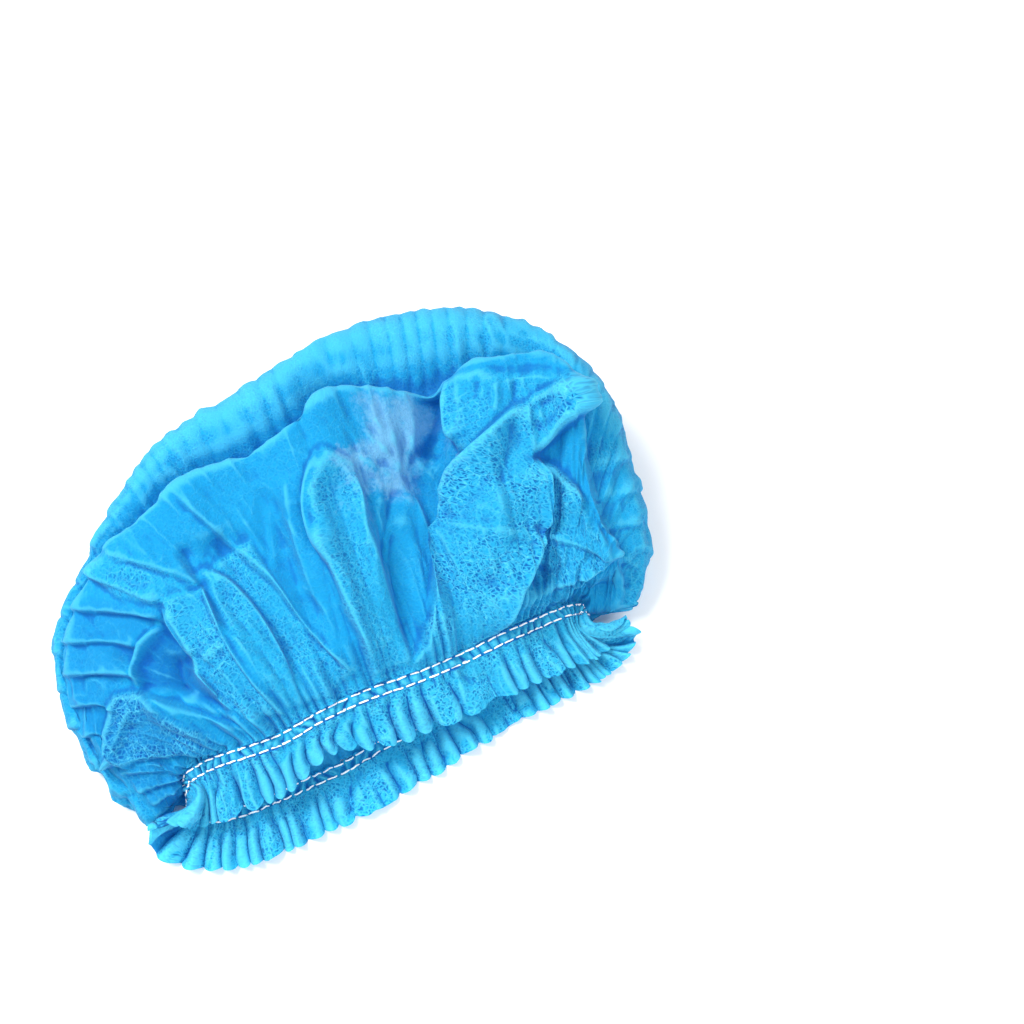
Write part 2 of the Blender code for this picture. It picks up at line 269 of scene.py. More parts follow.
def endOpening(columns):
    share = np.linspace(0.0, 1.0, columns)
    nearest = np.minimum(share, 1.0 - share) / form["endRounding"]
    return np.sqrt(1.0 - (1.0 - np.clip(nearest, 0.0, 1.0)) ** 2)


def rims(sec, opening):
    across = form["mouthShift"] + sec["rim"] * form["mouthWidth"]
    upper = np.stack([across, sec["bow"] * form["rimBow"], sec["lift"] * form["mouthHeight"]], axis=1)
    lower = np.stack([across, -sec["step"] * form["rimStep"], np.full_like(across, form["lowerRim"])], axis=1)
    fold = mix(upper, lower, 0.5)
    return mix(fold, upper, opening[:, None]), mix(fold, lower, opening[:, None]), fold


def ring(upper, lower):  # one loop round the mouth
    return np.concatenate([upper, lower[-2:0:-1]])


def fannedWays(sec, opening, fan):
    heading = np.radians(sec["fan"]) * fan
    tilt = np.radians(form["upperTilt"]) * sec["lift"]
    ahead = np.stack([np.sin(heading), -np.cos(heading), np.zeros_like(heading)], axis=1)
    down = ahead * np.cos(tilt)[:, None] - np.array([0.0, 0.0, 1.0]) * np.sin(tilt)[:, None]
    wide = opening[:, None]
    return ring(unit(mix(ahead, down, 0.5 + 0.5 * wide)), unit(mix(ahead, down, 0.5 - 0.5 * wide)))


def squareWays(sec, opening):
    upper, lower, _ = rims(sec, opening)
    edge = ring(upper, lower)
    tangent = unit(np.roll(edge, -1, axis=0) - np.roll(edge, 1, axis=0))
    way = fannedWays(sec, opening, 0.0)
    return unit(way - tangent * np.sum(way * tangent, axis=1, keepdims=True))


def besideSegment(spots, start, end):  # share of the way along it, and the gap from its nearest point
    along = end - start
    part = np.clip(((spots - start) @ along) / (along @ along), 0.0, 1.0)
    return part, spots - start - part[..., None] * along


def largeFoldHeight(plan):
    total = np.zeros(plan.shape[:-1])
    for x0, y0, x1, y1, x2, y2, rise, width in largeFolds:
        marks = np.array([[x0, y0], [x1, y1], [x2, y2]]) * (form["width"], form["depth"])
        nearest = np.full(plan.shape[:-1], np.inf)
        for start, end in zip(marks[:-1], marks[1:]):
            _, gap = besideSegment(plan, start, end)
            nearest = np.minimum(nearest, np.linalg.norm(gap, axis=-1))
        total += rise * largeFoldRise * np.exp(-(nearest / (width * largeFoldWidth)) ** 2)
    return total * largeFoldShare


def crownRows(sec, opening):  # columns by 21 rows, from the upper rim round to the lower rim
    upper, lower, fold = rims(sec, opening)
    way = squareWays(sec, opening)
    upperWay = way[:len(upper)]
    lowerWay = np.concatenate([way[:1], way[:len(upper) - 2:-1]])
    crest = form["crest"]
    outline = np.stack([sec["outX"] * form["width"], sec["outY"] * form["depth"], sec["turnZ"] * crest], axis=1)
    nothing = 0.0 * sec["rim"]
    along = {"rim": nothing, "crest": sec["crestU"], "valley": sec["valleyU"], "halo": sec["haloU"],
             "turn": nothing + 1.0, "floor": nothing + form["floorShare"], "under": nothing + form["underShare"]}
    height = {"lift": sec["lift"] * form["mouthHeight"], "panel": sec["panelZ"] * crest,
              "crest": sec["crestZ"] * crest, "valley": sec["valleyZ"] * crest,
              "halo": sec["haloZ"] * crest, "turn": sec["turnZ"] * crest,
              "floor": nothing + form["underHeight"]}
    rows = []
    last = len(stations) - 1
    for index, (fromMark, toMark, share, fromHeight, toHeight, rise) in enumerate(stations):
        start = upper if index < firstUnder else lower
        row = mix(start, outline, mix(along[fromMark], along[toMark], share)[:, None])
        row[:, 2] = mix(height[fromHeight], height[toHeight], rise)
        if index < firstUnder - 2:
            row[:, 2] += largeFoldHeight(row[:, :2]) * (1.0 if index else 0.4)
        pair = 1.0 - abs(2.0 * (index + 1) / (last + 2) - 1.0)
        rows.append(mix(mix(fold, outline, pair), row, opening[:, None]))
    collar = form["collar"]
    rows = [upper, upper - upperWay * collar] + rows + [lower - lowerWay * collar, lower]
    return np.stack(rows, axis=1) + np.array(form["home"])


# the photograph's camera, which tells where a point of the cap lies in its frame
photo = {
    "azimuth": -25.0,
    "elevation": 65.0,
    "distance": 0.88,
    "focal": 1700.0,      # pixels
    "frame": 1024.0,
    "sensor": 36.0,       # mm
    "aim": (0.089, 0.003, 0.0),
}


def photoAxes():
    a = math.radians(photo["azimuth"])
    e = math.radians(photo["elevation"])
    back = np.array([math.sin(a) * math.cos(e), -math.cos(a) * math.cos(e), math.sin(e)])
    right = unit(np.cross(-back, [0.0, 0.0, 1.0]))
    return right, np.cross(right, -back), back


def inPhoto(points):
    right, up, back = photoAxes()
    apart = points - (np.array(photo["aim"]) + back * photo["distance"])
    depth = -(apart @ back)
    middle = photo["frame"] / 2.0
    return np.stack([middle + photo["focal"] * (apart @ right) / depth,
                     middle - photo["focal"] * (apart @ up) / depth], axis=-1)


# folds by layer and by pixel in the photograph's frame: three points from start to end, rise in mm,
# width in pixels, and where one side is steep, which one and the lean in mm
foldRows = {
    "panel": (
        (117, 692, 109, 730, 110, 765, 5.0, 9, "l", 1.0),
        (138, 699, 124, 728, 113, 757, 2.5, 5),
        (142, 693, 190, 712, 250, 731, 6.0, 9, "a", 2.0),
        (169, 625, 140, 650, 140, 690, 5.0, 10, "l", 1.5),
        (175, 650, 178, 675, 190, 700, -7.0, 14),
        (96, 545, 160, 566, 201, 585, 5.0, 10, "b", 1.0),
        (201, 585, 226, 637, 275, 705, 6.0, 8, "l", 2.0),
        (201, 571, 250, 605, 300, 700, 5.0, 9, "r", 1.5),
        (164, 600, 180, 636, 194, 658, 5.0, 7, "l", 1.5),
        (193, 670, 225, 700, 270, 725, 5.0, 8, "a", 1.0),
        (226, 642, 215, 650, 205, 660, 2.0, 4),
        (212, 530, 245, 585, 320, 690, -7.0, 20),
        (180, 545, 190, 562, 200, 575, -4.0, 7),
        (168, 487, 226, 538, 286, 594, 4.0, 8, "l", 1.0),
        (262, 562, 305, 622, 357, 672, 5.0, 8, "l", 1.0),
        (268, 500, 272, 535, 275, 570, 1.4, 5),
        (228, 497, 250, 530, 268, 560, 1.2, 4),
        (323, 447, 308, 500, 334, 568, 6.0, 11, "l", 3.0),
        (317, 520, 340, 580, 374, 664, 5.5, 10, "l", 1.5),
        (285, 470, 296, 530, 318, 600, 4.0, 9),
        (375, 455, 400, 470, 425, 465, -3.0, 28),
        (352, 452, 372, 465, 398, 477, 1.6, 4),
        (368, 432, 385, 452, 401, 476, 1.8, 4),
        (390, 425, 396, 450, 402, 477, 1.6, 4),
        (415, 432, 410, 453, 404, 477, 1.8, 4),
        (440, 445, 425, 460, 405, 478, 1.6, 4),
        (398, 482, 390, 520, 386, 575, -4.0, 8),
        (408, 484, 425, 530, 440, 560, 3.0, 6),
        (352, 470, 360, 515, 368, 560, 3.0, 7),
        (430, 385, 434, 425, 425, 470, -10.0, 12),
        (400, 520, 398, 580, 412, 655, -8.0, 14),
        (446, 384, 452, 418, 461, 440, 5.0, 9, "l", 2.0),
        (526, 402, 482, 448, 440, 525, 7.0, 10, "l", 3.0),
        (440, 525, 437, 560, 428, 615, 6.0, 9, "l", 2.5),
        (432, 605, 428, 640, 412, 662, 4.0, 7, "l", 1.0),
        (495, 378, 496, 396, 494, 416, 2.4, 4),
        (479, 374, 478, 388, 476, 402, -2.2, 4),
        (515, 376, 514, 390, 511, 408, -2.0, 4),
        (460, 380, 465, 402, 468, 430, 2.2, 5),
        (526, 402, 527, 430, 529, 455, 2.6, 5),
        (514, 414, 507, 450, 499, 490, -3.2, 8),
        (598, 388, 565, 420, 531, 453, 5.5, 9, "r", 2.5),
        (531, 453, 541, 500, 538, 532, 9.0, 12, "r", 3.0),
        (538, 532, 520, 565, 490, 643, 7.0, 10, "r", 2.0),
        (575, 386, 553, 404, 530, 420, 2.5, 6),
        (500, 480, 494, 530, 488, 580, 3.0, 14),
        (440, 525, 482, 530, 538, 535, 1.6, 3.5, "b", 0.0),
        (530, 464, 565, 480, 590, 518, 5.0, 9, "r", 1.5),
        (590, 518, 606, 540, 622, 558, 4.0, 8, "r", 1.0),
        (538, 531, 580, 545, 622, 557, 3.0, 5, "b", 0.0),
        (622, 557, 571, 576, 515, 605, 4.0, 6, "b", 0.0),
        (545, 560, 537, 575, 530, 590, -5.0, 10),
        (575, 596, 605, 590, 630, 575, -6.0, 10),
        (183, 772, 150, 770, 115, 775, 3.0, 6, "b", 0.5),
        (183, 776, 155, 785, 125, 800, 3.0, 6, "b", 0.5),
        (186, 782, 160, 798, 140, 820, 3.0, 6, "b", 0.5),
    ),
    "tile": (
        (78, 571, 125, 582, 168, 598, 3.0, 9, "b", 1.5),
        (60, 608, 118, 607, 168, 615, 5.0, 12, "b", 3.0),
        (57, 642, 105, 637, 145, 645, 5.0, 12, "b", 3.0),
        (60, 674, 105, 668, 140, 674, 5.0, 12, "b", 3.0),
        (66, 706, 96, 700, 120, 706, 4.0, 10, "b", 2.5),
        (78, 738, 96, 730, 110, 738, 3.0, 9, "b", 2.0),
        (92, 770, 112, 762, 135, 768, 2.5, 8, "b", 1.5),
    ),
    "halo": (
        (570, 474, 605, 463, 638, 456, 1.8, 7, "b", 1.0),
        (583, 502, 612, 494, 640, 490, 1.8, 7, "b", 1.0),
        (593, 527, 618, 524, 642, 522, 1.8, 7, "b", 1.0),
        (618, 556, 630, 562, 642, 572, 1.5, 5, "b", 0.5),
    ),
}
steepSides = {"l": (-1.0, 0.0), "r": (1.0, 0.0), "a": (0.0, -1.0), "b": (0.0, 1.0)}
foldShare = 1.0

# flat facets of the upper layer, by pixel in the same frame: rise in mm, width of the step, share of the fibre web,
# share of painted shade (darker blue where the cloth lies in shade), outline
facetRows = (
    (3.5, 5, 0.6, 0.0, (
        (445, 385), (461, 374), (482, 369), (504, 374), (539, 371), (575, 376), (598, 383), (560, 395),
        (526, 402), (507, 417), (498, 424), (479, 452), (462, 450), (452, 425))),
    (6.0, 4, 1.0, 0.08, (
        (530, 398), (560, 382), (598, 383), (565, 420), (529, 455), (534, 480), (537, 505), (538, 533),
        (529, 555), (520, 580), (511, 599), (498, 624), (485, 645), (452, 668), (412, 664), (426, 624),
        (432, 605), (439, 574), (436, 549), (440, 525), (454, 502), (464, 471), (479, 452), (498, 424))),
    (3.5, 4, 1.0, 0.12, (
        (529, 458), (555, 466), (570, 478), (583, 497), (594, 527), (620, 556), (585, 580), (550, 604),
        (510, 608), (495, 632), (511, 599), (520, 580), (529, 555), (538, 533), (537, 505), (534, 480))),
    (4.5, 4, 1.0, 0.60, (
        (117, 691), (142, 690), (165, 711), (195, 727), (226, 742), (219, 750), (160, 757), (104, 766),
        (110, 730))),
    (4.0, 4, 0.9, 0.1, (
        (165, 598), (204, 588), (223, 633), (250, 672), (285, 712), (256, 718), (225, 700), (194, 675),
        (192, 650))),
    (-5.0, 9, 0.1, 0.6, (
        (163, 622), (190, 650), (194, 678), (235, 712), (200, 702), (165, 690), (142, 690), (137, 662))),
    (2.8, 5, 0.7, 0.0, (
        (201, 571), (250, 540), (272, 576), (305, 622), (355, 668), (330, 695), (285, 708), (240, 650))),
    (3.2, 5, 0.7, 0.0, (
        (322, 447), (352, 462), (366, 520), (386, 575), (402, 620), (412, 662), (372, 674), (345, 610),
        (324, 540), (311, 490))),
    (2.6, 5, 0.6, 0.0, (
        (110, 548), (167, 569), (201, 585), (180, 596), (164, 600), (120, 592), (84, 572))),
    # the last two rows add no rise, only painted shade and web over the lower left
    (0.0, 12, 0.3, 0.35, (
        (104, 768), (160, 757), (183, 774), (186, 802), (150, 838), (108, 795))),
    (0.0, 12, 0.2, 0.25, (
        (60, 600), (120, 596), (160, 610), (135, 640), (120, 690), (100, 740), (74, 740), (56, 690))),
)


def photoFolds(points, rowPlace):
    # rise along the surface's normal and lean in the photograph's plane, for each point
    flat = inPhoto(points)
    rise = np.zeros(points.shape[:-1])
    lean = np.zeros(points.shape[:-1] + (2,))
    panel = 1.0 - smooth(6.0, 7.4, rowPlace)
    outer = 1.0 - smooth(13.0, 14.5, rowPlace)
    layers = {"panel": panel, "halo": smooth(7.0, 8.4, rowPlace) * outer, "tile": outer}
    folds = [(layers[name], *row) for name, rows in foldRows.items() for row in rows]
    for layer, x0, y0, x1, y1, x2, y2, height, width, *folded in folds:
        steep, lay = folded or ("", 0.0)
        share = np.linspace(0.0, 1.0, 13)[:, None]
        middle = 2.0 * np.array([x1, y1]) - 0.5 * np.array([x0 + x2, y0 + y2])
        line = ((1.0 - share) ** 2 * (x0, y0) + 2.0 * share * (1.0 - share) * middle + share ** 2 * (x2, y2))
        low = line.min(axis=0) - 3.0 * width
        high = line.max(axis=0) + 3.0 * width
        near = np.all((flat > low) & (flat < high), axis=-1)
        spots = flat[near]
        best = np.full(len(spots), np.inf)
        side = np.zeros(len(spots))
        place = np.zeros(len(spots))
        ways = np.zeros((len(spots), 2))
        for index, (start, end) in enumerate(zip(line[:-1], line[1:])):
            part, gap = besideSegment(spots, start, end)
            length = np.linalg.norm(gap, axis=1)
            closer = length < best
            along = end - start
            across = np.array([-along[1], along[0]]) / np.linalg.norm(along)
            if steep and across @ steepSides[steep] < 0.0:
                across = -across
            best = np.where(closer, length, best)
            side = np.where(closer, gap @ across, side)
            place = np.where(closer, (index + part) / 12.0, place)
            ways[closer] = across
        # a folded edge: one short steep side and one long flat side, or two alike
        reach = np.where(side > 0.0, 0.5 * width, 2.4 * width) if steep else 1.6 * width
        ends = smooth(-0.02, 0.22, place) * (1.0 - smooth(0.8, 1.02, place))
        shape = np.clip(1.0 - best / reach, 0.0, 1.0) ** 1.25 * ends
        shape = shape * layer[near]
        rise[near] += shape * height * 0.001 * foldShare
        lean[near] += ways * (shape * lay * 0.001 * foldShare)[:, None]
    return rise, lean


def photoFacets(points, rowPlace):  # rise, share of web and share of painted shade, for each point
    flat = inPhoto(points)
    rise = np.zeros(points.shape[:-1])
    web = np.full(points.shape[:-1], crown["plainWeb"])
    paintedShade = np.zeros(points.shape[:-1])
    panel = (1.0 - smooth(6.2, 7.6, rowPlace)) * smooth(0.3, 2.2, rowPlace)
    for height, step, share, shade, outline in facetRows:
        outline = np.array(outline, float)
        near = np.all((flat > outline.min(axis=0) - 3.0 * step) & (flat < outline.max(axis=0) + 3.0 * step), axis=-1)
        spots = flat[near]
        best = np.full(len(spots), np.inf)
        inside = np.zeros(len(spots), bool)
        for start, end in zip(outline, np.roll(outline, -1, axis=0)):
            _, gap = besideSegment(spots, start, end)
            best = np.minimum(best, np.linalg.norm(gap, axis=1))
            along = end - start
            crosses = (start[1] > spots[:, 1]) != (end[1] > spots[:, 1])
            slope = along[0] / along[1] if along[1] else 0.0
            inside ^= crosses & (spots[:, 0] < start[0] + slope * (spots[:, 1] - start[1]))
        apart = np.where(inside, best, -best)
        shape = smooth(-0.5 * step, 0.8 * step, apart) * (0.8 + 0.2 * np.exp(-np.maximum(apart, 0.0) / (3.0 * step)))
        rise[near] += shape * height * 0.001 * panel[near]
        covered = np.clip(shape, 0.0, 1.0) * panel[near]
        web[near] = mix(web[near], share, covered)
        paintedShade[near] = mix(paintedShade[near], shade, covered)
    web = np.maximum(web, 0.8 * (1.0 - smooth(0.6, 2.4, rowPlace)))
    return rise, np.maximum(web, 0.5 * smooth(6.5, 8.0, rowPlace)), paintedShade


# the crown is one thin sheet from the upper rim over the crest and back under to the lower rim
crown = {
    "columns": 641,
    "upperRows": 138,
    "underRows": 16,
    "backDensity": 0.62,      # there are this many rows behind the crest for each one in front, by length
    "gatherWaves": ((0.0105, 0.0021, 0.026), (0.021, 0.0026, 0.048), (0.043, 0.0024, 0.085)),
    "sidePleat": 0.0168,      # of flat cloth, at the left side
    "sideRise": 0.0012,
    "backPleat": 0.0088,      # round the back
    "backRise": 0.00055,
    "rightPleat": 0.0130,
    "rightRise": 0.0006,
    "wallPleat": 0.021,       # folds low on the outer wall
    "wallRise": 0.0022,
    "crumple": 0.016,         # small creases all over
    "crumpleRise": 0.0009,
    "crestJitter": 0.0025,
    "plainWeb": 0.22,         # how much of the fibre web shows where the cloth lies in one layer
    "seed": 11,
}


def densePlaces(rows):  # row places spread by length, more of them in front and few under the cap
    steps = np.linalg.norm(np.diff(rows, axis=1), axis=2).mean(axis=0)
    length = np.concatenate(([0.0], np.cumsum(steps)))
    order = np.arange(len(length))
    weights = np.where(order[:-1] < crestRow, 1.0, crown["backDensity"])
    heavy = np.concatenate(([0.0], np.cumsum(steps * weights)))
    atUnder = heavy[floorRow]
    upper = np.linspace(0.0, atUnder, crown["upperRows"], endpoint=False)
    lower = np.linspace(atUnder, heavy[-1], crown["underRows"])
    places = np.interp(np.concatenate([upper, lower]), heavy, order)
    return places, np.interp(places, order, length)


def gatherHeight(across, away, seed):
    # cloth gathered by the elastic: short waves at the seam that merge into longer ones
    total = np.zeros(np.broadcast(across, away).shape)
    for index, (length, rise, fade) in enumerate(crown["gatherWaves"]):
        drift = 0.9 * noise(across / (2.5 * length), away / 0.09, seed + index)
        wobble = 0.55 + 0.45 * noise(across / (1.7 * length), away / 0.05 + 3.0, seed + 10 + index)
        phase = across / length + drift
        total += rise * wobble * pleatWave(phase, 0.5 + 0.12 * index) * np.exp(-(away / fade) ** 1.2)
    return total


def buildCrown():
    columns = crown["columns"]
    sec = columnSections(columns)
    opening = endOpening(columns)
    rows = crownRows(sec, opening)
    places, length = densePlaces(rows)
    grid = throughRows(rows.transpose(1, 0, 2), places).transpose(1, 0, 2)
    normal = unit(np.cross(np.gradient(grid, axis=0), np.gradient(grid, axis=1)))
    cloth = np.linspace(0.0, form["clothWidth"], columns)[:, None] * np.ones_like(grid[..., 0])
    down = np.broadcast_to(length[None, :], cloth.shape)
    rowPlace = np.broadcast_to(places[None, :], cloth.shape)
    seed = crown["seed"]

    away = np.minimum(down, length[-1] - down)
    upperGather = gatherHeight(cloth, down, seed)
    lowerGather = gatherHeight(cloth, length[-1] - down, seed + 40)
    onTop = rowPlace < 14.0
    gather = np.where(onTop, upperGather, lowerGather * 0.7)

    # pleats that run in from the outline: like roof tiles at the left, fine round the back
    share = cloth / form["clothWidth"]
    left = 1.0 - smooth(0.27, 0.36, share)
    right = smooth(0.66, 0.76, share)
    back = 1.0 - left - right
    wander = noise(cloth / 0.05, down / 0.14, seed + 60)
    size = 0.75 + 0.45 * noise(cloth / 0.02, down / 0.3, seed + 61)
    inward = smooth(5.0, 8.5, rowPlace) * (1.0 - smooth(12.4, 14.5, rowPlace))
    leftInward = smooth(7.0, 9.0, rowPlace) * (1.0 - smooth(12.6, 14.5, rowPlace))
    pleat = left * leftInward * crown["sideRise"] * pleatWave(cloth / crown["sidePleat"] + 0.35 * wander, 0.14)
    pleat += back * inward * crown["backRise"] * pleatWave(cloth / crown["backPleat"] + 1.5 * wander, 0.5)
    pleat += right * inward * crown["rightRise"] * pleatWave(cloth / crown["rightPleat"] + 0.5 * wander, 0.75)
    pleat *= size

    # soft uneven folds on the outer wall and under the cap, which the photograph hides
    low = smooth(11.3, 12.6, rowPlace) * (1.0 - smooth(14.2, 15.4, rowPlace))
    drift = 1.6 * noise(cloth / 0.05, down / 0.10, seed + 62)
    wall = pleatWave(cloth / crown["wallPleat"] + down / 0.16 + drift, 0.55)
    wall *= 0.6 + 0.5 * noise(cloth / 0.04, down / 0.06, seed + 63)
    wall += 0.7 * noise(cloth / 0.05, down / 0.05, seed + 64)
    hidden = low * crown["wallRise"] * wall

    crumple = creases(cloth / crown["crumple"], down / 0.030, seed + 70) * crown["crumpleRise"]
    crumple += 0.55 * creases(cloth / 0.0075 + down / 0.02, down / 0.013, seed + 72) * crown["crumpleRise"]
    crumple *= 0.35 + 0.65 * smooth(0.5, 3.0, rowPlace)

    crestNear = np.exp(-((rowPlace - crestRow) / 1.3) ** 2)
    jitter = crown["crestJitter"] * noise(cloth / 0.014, down / 0.3, seed + 80) * crestNear

    rise, lean = photoFolds(grid, rowPlace)
    facets, web, paintedShade = photoFacets(grid, rowPlace)
    rise = soften(rise + facets, 1)
    lean = soften(lean, 3)

    # texture place: the columns spread as a fan from the rim, out to the turn and back
    upper, _, _ = rims(sec, opening)
    outline = np.stack([sec["outX"] * form["width"], sec["outY"] * form["depth"]], axis=1)
    ray = unit(outline - upper[:, :2])
    run = np.cumsum(np.linalg.norm(np.diff(grid, axis=1), axis=2), axis=1)
    run = np.concatenate([np.zeros((columns, 1)), run], axis=1)
    turn = np.array([np.interp(shoulderRow, places, line) for line in run])[:, None]
    spots = upper[:, None, :2] + ray[:, None, :] * np.minimum(run, 2.0 * turn - run)[..., None]
    topSide = 1.0 - smooth(14.0, 15.0, rowPlace)
    height = gather + (pleat + jitter + rise) * topSide + hidden + crumple * (0.25 + 0.75 * topSide)
    height *= opening[:, None] ** 0.5
    right, up, _ = photoAxes()
    grid = grid + normal * height[..., None]
    grid += (lean[..., :1] * right - lean[..., 1:] * up) * topSide[..., None]
    grid[..., 2] = np.maximum(grid[..., 2], 0.0004)
    return grid, places, sec, opening, {"spots": spots, "web": web, "paintedShade": paintedShade, "side": 1.0}


def foldedIndex(columns, rows):  # the crown's first and last column are folded shut
    index = np.arange(columns * rows).reshape(columns, rows)
    for column in (0, columns - 1):
        index[column] = index[column][np.minimum(np.arange(rows), rows - 1 - np.arange(rows))]
    return index


def sheetFromGrid(name, points, closedRing, stitched=False, paint=None):
    columns, rows = points.shape[:2]
    index = foldedIndex(columns, rows) if stitched else np.arange(columns * rows).reshape(columns, rows)
    following = np.roll(index, -1, axis=0) if closedRing else index[1:]
    current = index if closedRing else index[:-1]
    quads = np.stack([current[:, :-1], following[:, :-1], following[:, 1:], current[:, 1:]], axis=-1).reshape(-1, 4)
    faces = []
    for quad in quads.tolist():
        corners = list(dict.fromkeys(quad))
        if len(corners) > 2:
            faces.append(corners)
    mesh = bpy.data.meshes.new(name)
    mesh.from_pydata(points.reshape(-1, 3).tolist(), [], faces)
    if paint:
        loops = np.empty(len(mesh.loops), dtype=np.int32)
        mesh.loops.foreach_get("vertex_index", loops)
        layer = mesh.uv_layers.new(name="cloth")
        layer.data.foreach_set("uv", paint["spots"].reshape(-1, 2)[loops].ravel().astype(np.float32))
        # crease depth, which the material turns into painted shade in valleys and painted highlight on ridges
        crease = creaseDepth(points, closedRing) * paint["side"]
        for attribute, values in (("crease", crease), ("web", paint["web"]), ("paintedShade", paint["paintedShade"])):
            made = mesh.attributes.new(attribute, "FLOAT", "POINT")
            made.data.foreach_set("value", values.ravel().astype(np.float32))
        clean = bmesh.new()
        clean.from_mesh(mesh)
        bmesh.ops.delete(clean, geom=[v for v in clean.verts if not v.link_faces], context="VERTS")
        clean.to_mesh(mesh)
        clean.free()
    mesh.shade_smooth()
    piece = bpy.data.objects.new(name, mesh)
    bpy.context.scene.collection.objects.link(piece)
    return piece


# cloth simulation of the crown: the set folds settle and crumple as thin fabric does
simulation = {
    "columnStep": 2,
    "rows": 90,
    "frames": 20,
    "mass": 0.02,
    "tension": 40.0,
    "bending": 0.4,
    "damping": 25.0,
    "airDamping": 2.0,
    "quality": 5,
    "growth": 0.09,        # the cloth is this much wider, across the folds, than the form it is held to
    "gravityShare": 0.3,
    "topHold": 0.12,       # how firmly the upper layer is held to its folds
    "crestHold": 0.30,
    "endColumns": 14.0,    # the columns near each end are held firmly
    "holdLevels": 20.0,
}


def simulateCloth(grid, places):
    columns = grid[::simulation["columnStep"]]
    rows = simulation["rows"]
    wanted = np.linspace(0.0, grid.shape[1] - 1.0, rows)
    coarse = throughRows(columns.transpose(1, 0, 2), wanted).transpose(1, 0, 2)
    count = len(coarse)
    piece = sheetFromGrid("clothTrial", coarse, False, stitched=True)
    place = np.interp(wanted, np.arange(len(places)), places)
    hold = simulation["topHold"] + (1.0 - simulation["topHold"]) * (1.0 - smooth(0.6, 2.2, place))
    hold = np.maximum(hold, simulation["crestHold"] * np.exp(-((place - crestRow) / 0.8) ** 2))
    hold = np.maximum(hold, smooth(12.5, 14.5, place))
    fromEnd = np.minimum(np.arange(count), count - 1 - np.arange(count))
    nearEnd = np.clip(fromEnd / simulation["endColumns"], 0.0, 1.0)
    hold = np.maximum(hold[None, :], 1.0 - nearEnd[:, None])
    levels = np.round(hold * simulation["holdLevels"]) / simulation["holdLevels"]
    group = piece.vertex_groups.new(name="hold")
    for level in np.unique(levels):
        group.add(np.nonzero(levels.ravel() == level)[0].tolist(), float(level), "REPLACE")
    # the uncrumpled cloth: every step from column to column is longer by the growth
    middle = count // 2
    steps = np.diff(coarse, axis=0) * (1.0 + simulation["growth"])
    before = coarse[middle] - np.cumsum(steps[:middle][::-1], axis=0)[::-1]
    after = coarse[middle] + np.cumsum(steps[middle:], axis=0)
    uncrumpled = np.concatenate([before, coarse[middle:middle + 1], after])
    piece.shape_key_add(name="held")
    rest = piece.shape_key_add(name="uncrumpled")
    rest.data.foreach_set("co", uncrumpled.ravel().astype(np.float32))
    cloth = piece.modifiers.new("cloth", "CLOTH")
    settings = cloth.settings
    settings.rest_shape_key = rest
    settings.quality = simulation["quality"]
    settings.mass = simulation["mass"]
    settings.tension_stiffness = simulation["tension"]
    settings.compression_stiffness = simulation["tension"]
    settings.shear_stiffness = simulation["tension"] / 4.0
    settings.bending_stiffness = simulation["bending"]
    settings.tension_damping = simulation["damping"]
    settings.compression_damping = simulation["damping"]
    settings.shear_damping = simulation["damping"]
    settings.air_damping = simulation["airDamping"]
    settings.vertex_group_mass = "hold"
    settings.pin_stiffness = 1.0
    settings.effector_weights.gravity = simulation["gravityShare"]
    cloth.collision_settings.use_collision = False
    cloth.collision_settings.use_self_collision = False
    cloth.point_cache.frame_start = 1
    cloth.point_cache.frame_end = simulation["frames"]
    for number in range(1, simulation["frames"] + 1):
        bpy.context.scene.frame_set(number)
    body = piece.evaluated_get(bpy.context.evaluated_depsgraph_get())
    spots = np.empty(len(body.data.vertices) * 3)
    body.data.vertices.foreach_get("co", spots)
    index = foldedIndex(count, rows)
    moved = spots.reshape(-1, 3)[index.ravel()].reshape(count, rows, 3) - coarse
    bpy.data.objects.remove(piece, do_unlink=True)
    bpy.context.scene.frame_set(1)
    print("cloth simulated: mean move", round(1000.0 * float(np.abs(moved).mean()), 3), "mm")
    rowBack = np.interp(np.arange(grid.shape[1]), wanted, np.arange(rows))
    moved = throughRows(moved.transpose(1, 0, 2), rowBack).transpose(1, 0, 2)
    columnBack = np.linspace(0.0, count - 1.0, len(grid))
    settled = grid + throughRows(moved, columnBack)
    settled[..., 2] = np.maximum(settled[..., 2], 0.0004)
    return settled


crownGrid, crownPlaces, sec, opening, crownPaint = buildCrown()
crownGrid = simulateCloth(crownGrid, crownPlaces)
crownPiece = sheetFromGrid("crownCloth", crownGrid, False, stitched=True, paint=crownPaint)
print("crown:", len(crownPiece.data.vertices), "points")


# elastic band and frill: two closed strips round the mouth
band = {
    "width": 0.0068,      # reaches the crown and the frill, so no gap shows
    "rows": 9,
    "ripple": 0.0010,
    "pleat": 0.0105,
    "seams": (0.16, 0.84),    # where the two rows of stitches run, as a share of the width
    "web": 0.5,
    "seed": 31,
}

frill = {
    "start": 0.0066,
    "width": 0.0225,
    "rows": 26,
    "flute": 0.0165,       # of flat cloth
    "rise": 0.0036,
    "sway": 0.0012,
    "bulge": 0.0009,
    "scallop": 0.0016,
    "web": 0.9,
    "curlAt": 308.0,       # where the upper frill curls up short, in pixels of the photograph
    "curlReach": 33.0,
    "curlBy": 0.0100,
    "seed": 51,
}


